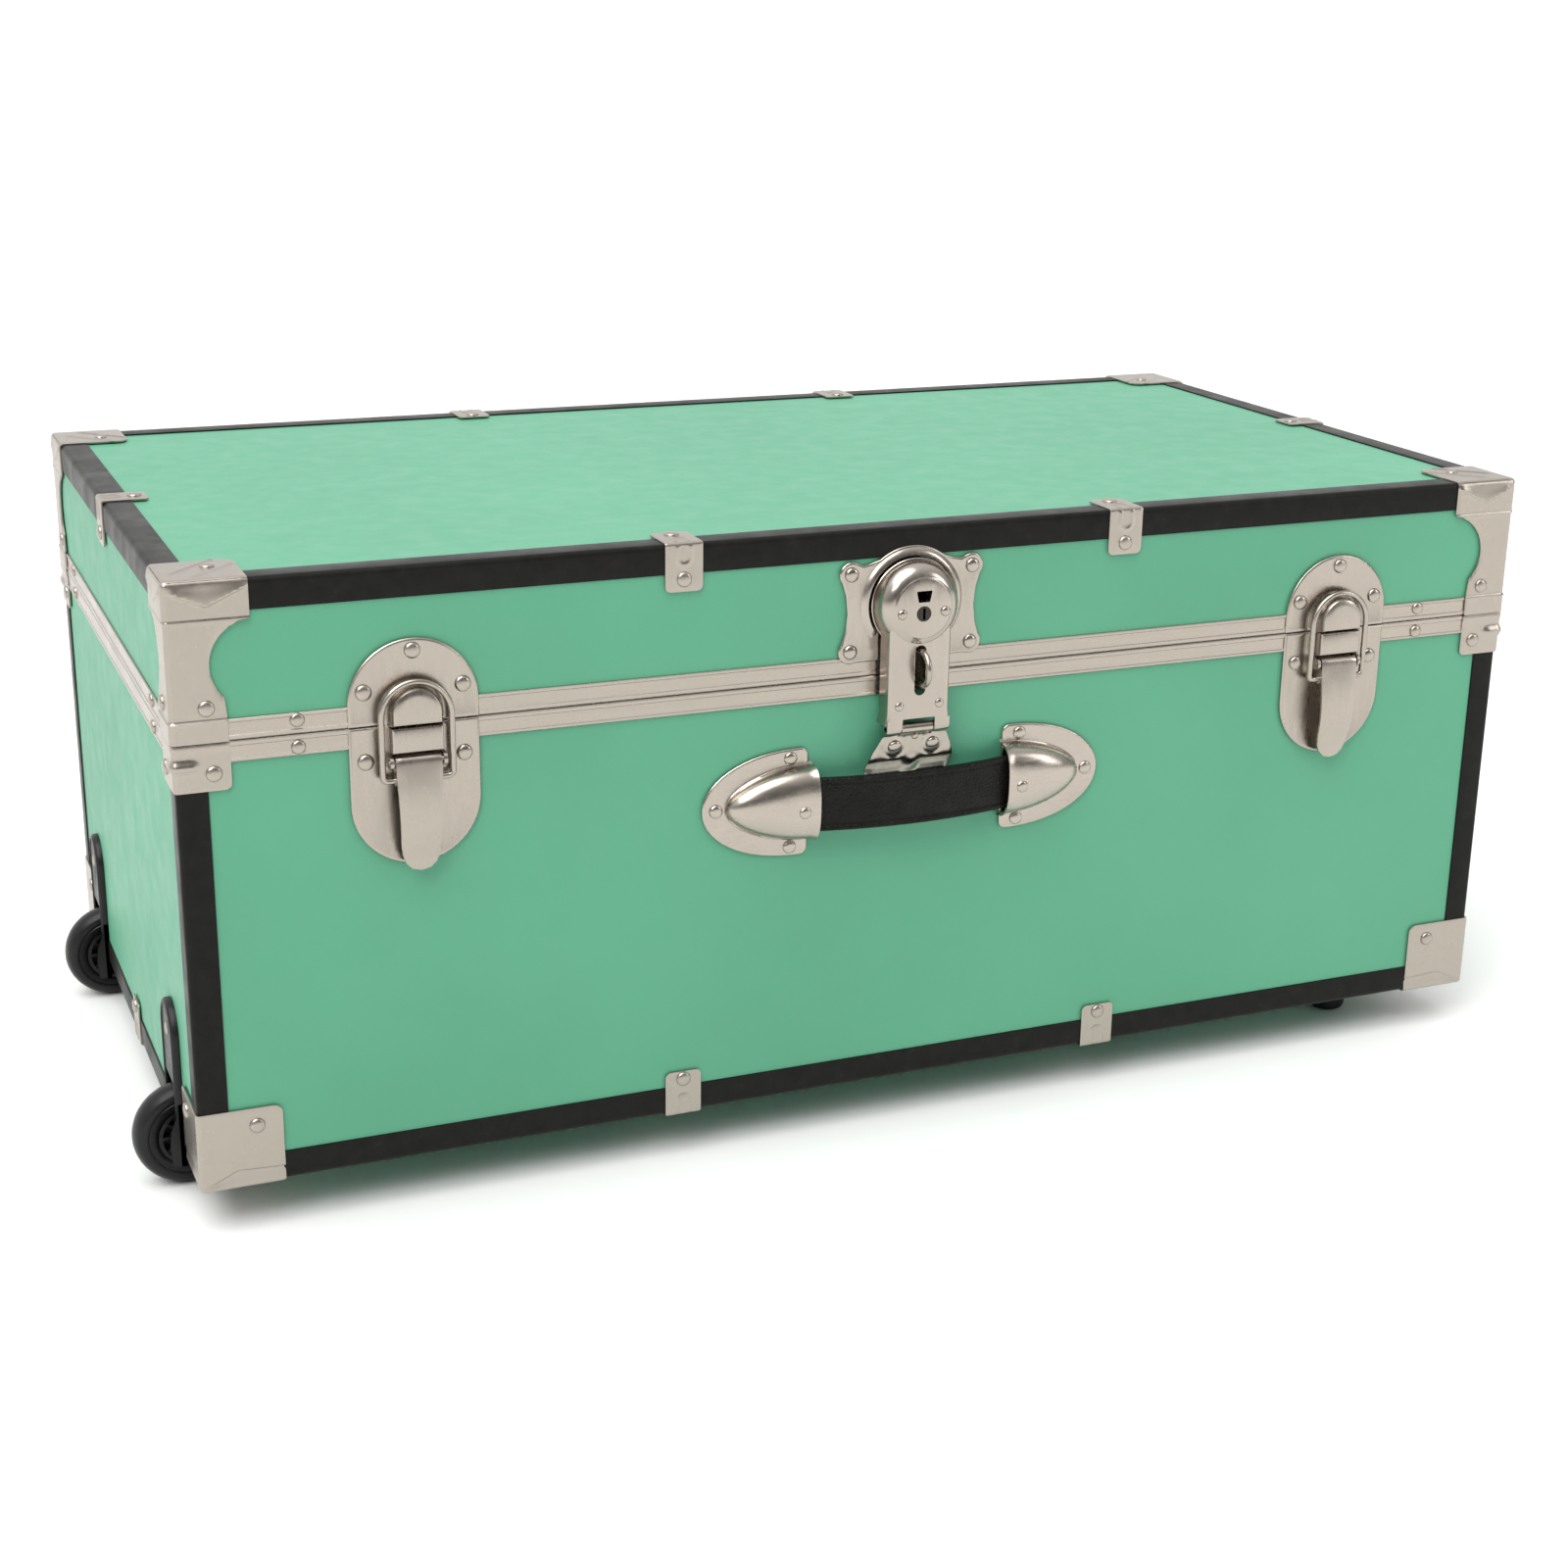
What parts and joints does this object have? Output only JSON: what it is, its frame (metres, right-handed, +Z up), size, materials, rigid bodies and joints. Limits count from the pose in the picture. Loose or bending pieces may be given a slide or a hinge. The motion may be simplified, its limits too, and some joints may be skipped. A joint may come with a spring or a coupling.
{
  "type": "footlocker",
  "caption": "Flat-topped footlocker trunk: panelled box with hinged lid, metal-bound edges, draw latches, hasp lock, strap handles and wheels at one end.",
  "frame": {"origin": "on the floor under the middle of the whole object's box", "axes": "+X along the length, away from the wheeled end; -Y towards the front with the latches and lock; +Z up"},
  "size_m": [0.803, 0.4322, 0.3384],
  "materials": {
    "green_board": "wood-fibre board covered with green vinyl, fine leather grain, satin",
    "lining_paper": "plain printed-paper lining, matte",
    "rail_steel": "nickel-coloured rolled steel, satin",
    "black_trim": "charcoal coated steel strip, satin",
    "cap_steel": "nickel-plated pressed steel, satin",
    "housing_black": "black moulded plastic",
    "pin_steel": "zinc-plated steel",
    "tyre_black": "black wheel rubber, satin",
    "hub_black": "black moulded plastic",
    "foot_rubber": "black rubber",
    "latch_steel": "nickel-plated pressed steel, semi-bright",
    "lock_steel": "nickel-plated pressed steel, bright",
    "cam_black": "blackened steel",
    "hinge_steel": "nickel-plated steel",
    "handle_steel": "nickel-plated pressed steel, bright",
    "strap_black": "black pebbled vinyl strap"
  },
  "bodies": {
    "body": {"front_panel": "green_board", "rear_panel": "green_board", "left_end_panel": "green_board", "right_end_panel": "green_board", "bottom_panel": "green_board", "body_lining": "lining_paper", "body_rim_rail": "rail_steel", "rim_tongue": "rail_steel", "bottom_front_trim": "black_trim", "bottom_rear_trim": "black_trim", "bottom_left_trim": "black_trim", "bottom_right_trim": "black_trim", "upright_trims": "black_trim", "bottom_corner_caps": "cap_steel", "rim_corner_caps": "cap_steel", "body_edge_clips": "cap_steel", "body_rivets": "cap_steel", "front_wheel_housing": "housing_black", "rear_wheel_housing": "housing_black", "wheel_axles": "pin_steel", "feet": "foot_rubber", "left_latch_plate": "latch_steel", "right_latch_plate": "latch_steel", "lever_pins": "pin_steel", "hasp_hinge_plate": "lock_steel", "hasp_hinge_pin": "pin_steel", "hinge_body_leaves": "hinge_steel", "hinge_pins": "pin_steel", "front_handle_caps": "handle_steel", "front_handle_strap": "strap_black", "end_handle_caps": "handle_steel", "end_handle_strap": "strap_black"},
    "lid": {"lid_top_panel": "green_board", "lid_front_panel": "green_board", "lid_rear_panel": "green_board", "lid_end_panels": "green_board", "lid_lining": "lining_paper", "lid_rim_rail": "rail_steel", "lid_edge_trims": "black_trim", "lid_corner_caps": "cap_steel", "lid_edge_clips": "cap_steel", "lid_rivets": "cap_steel", "left_latch_keeper": "latch_steel", "right_latch_keeper": "latch_steel", "lock_back_plate": "lock_steel", "lock_catch": "pin_steel", "padlock_staple": "lock_steel", "hinge_lid_leaves": "hinge_steel"},
    "left_lever": {"left_latch_lever": "latch_steel"},
    "right_lever": {"right_latch_lever": "latch_steel"},
    "left_bail": {"left_latch_bail": "latch_steel"},
    "right_bail": {"right_latch_bail": "latch_steel"},
    "hasp": {"hasp": "lock_steel", "lock_case": "pin_steel"},
    "lock_plug": {"lock_plug": "pin_steel", "lock_cam": "cam_black"},
    "front_wheel": {"front_wheel_tyre": "tyre_black", "front_wheel_hub": "hub_black"},
    "rear_wheel": {"rear_wheel_tyre": "tyre_black", "rear_wheel_hub": "hub_black"}
  },
  "joints": [
    {"name": "lid_hinge", "type": "hinge", "parent": "body", "child": "lid", "pos_m": [0.0035, 0.2131, 0.258], "axis": [-1, 0, 0], "range_deg": [0, 95]},
    {"name": "left_lever_pivot", "type": "hinge", "parent": "body", "child": "left_lever", "pos_m": [-0.262, -0.1956, 0.24], "axis": [-1, 0, 0], "range_deg": [0, 110]},
    {"name": "left_bail_pivot", "type": "hinge", "parent": "left_lever", "child": "left_bail", "pos_m": [-0.262, -0.1956, 0.231], "axis": [-1, 0, 0], "range_deg": [-110.01, 0]},
    {"name": "right_lever_pivot", "type": "hinge", "parent": "body", "child": "right_lever", "pos_m": [0.269, -0.1956, 0.24], "axis": [-1, 0, 0], "range_deg": [0, 110]},
    {"name": "right_bail_pivot", "type": "hinge", "parent": "right_lever", "child": "right_bail", "pos_m": [0.269, -0.1956, 0.231], "axis": [-1, 0, 0], "range_deg": [-110.01, 0]},
    {"name": "hasp_hinge", "type": "hinge", "parent": "body", "child": "hasp", "pos_m": [0.0035, -0.2011, 0.231], "axis": [1, 0, 0], "range_deg": [0, 115]},
    {"name": "key_turn", "type": "hinge", "parent": "hasp", "child": "lock_plug", "pos_m": [0.0035, -0.2021, 0.2932], "axis": [0, -1, 0], "range_deg": [0, 90]},
    {"name": "front_wheel_spin", "type": "hinge", "parent": "body", "child": "front_wheel", "pos_m": [-0.3735, -0.1231, 0.028], "axis": [0, 1, 0], "continuous": true},
    {"name": "rear_wheel_spin", "type": "hinge", "parent": "body", "child": "rear_wheel", "pos_m": [-0.3735, 0.1429, 0.028], "axis": [0, 1, 0], "continuous": true}
  ],
  "couplings": [
    {"joint": "left_bail_pivot", "follows": "left_lever_pivot", "ratio": -1},
    {"joint": "right_bail_pivot", "follows": "right_lever_pivot", "ratio": -1}
  ]
}
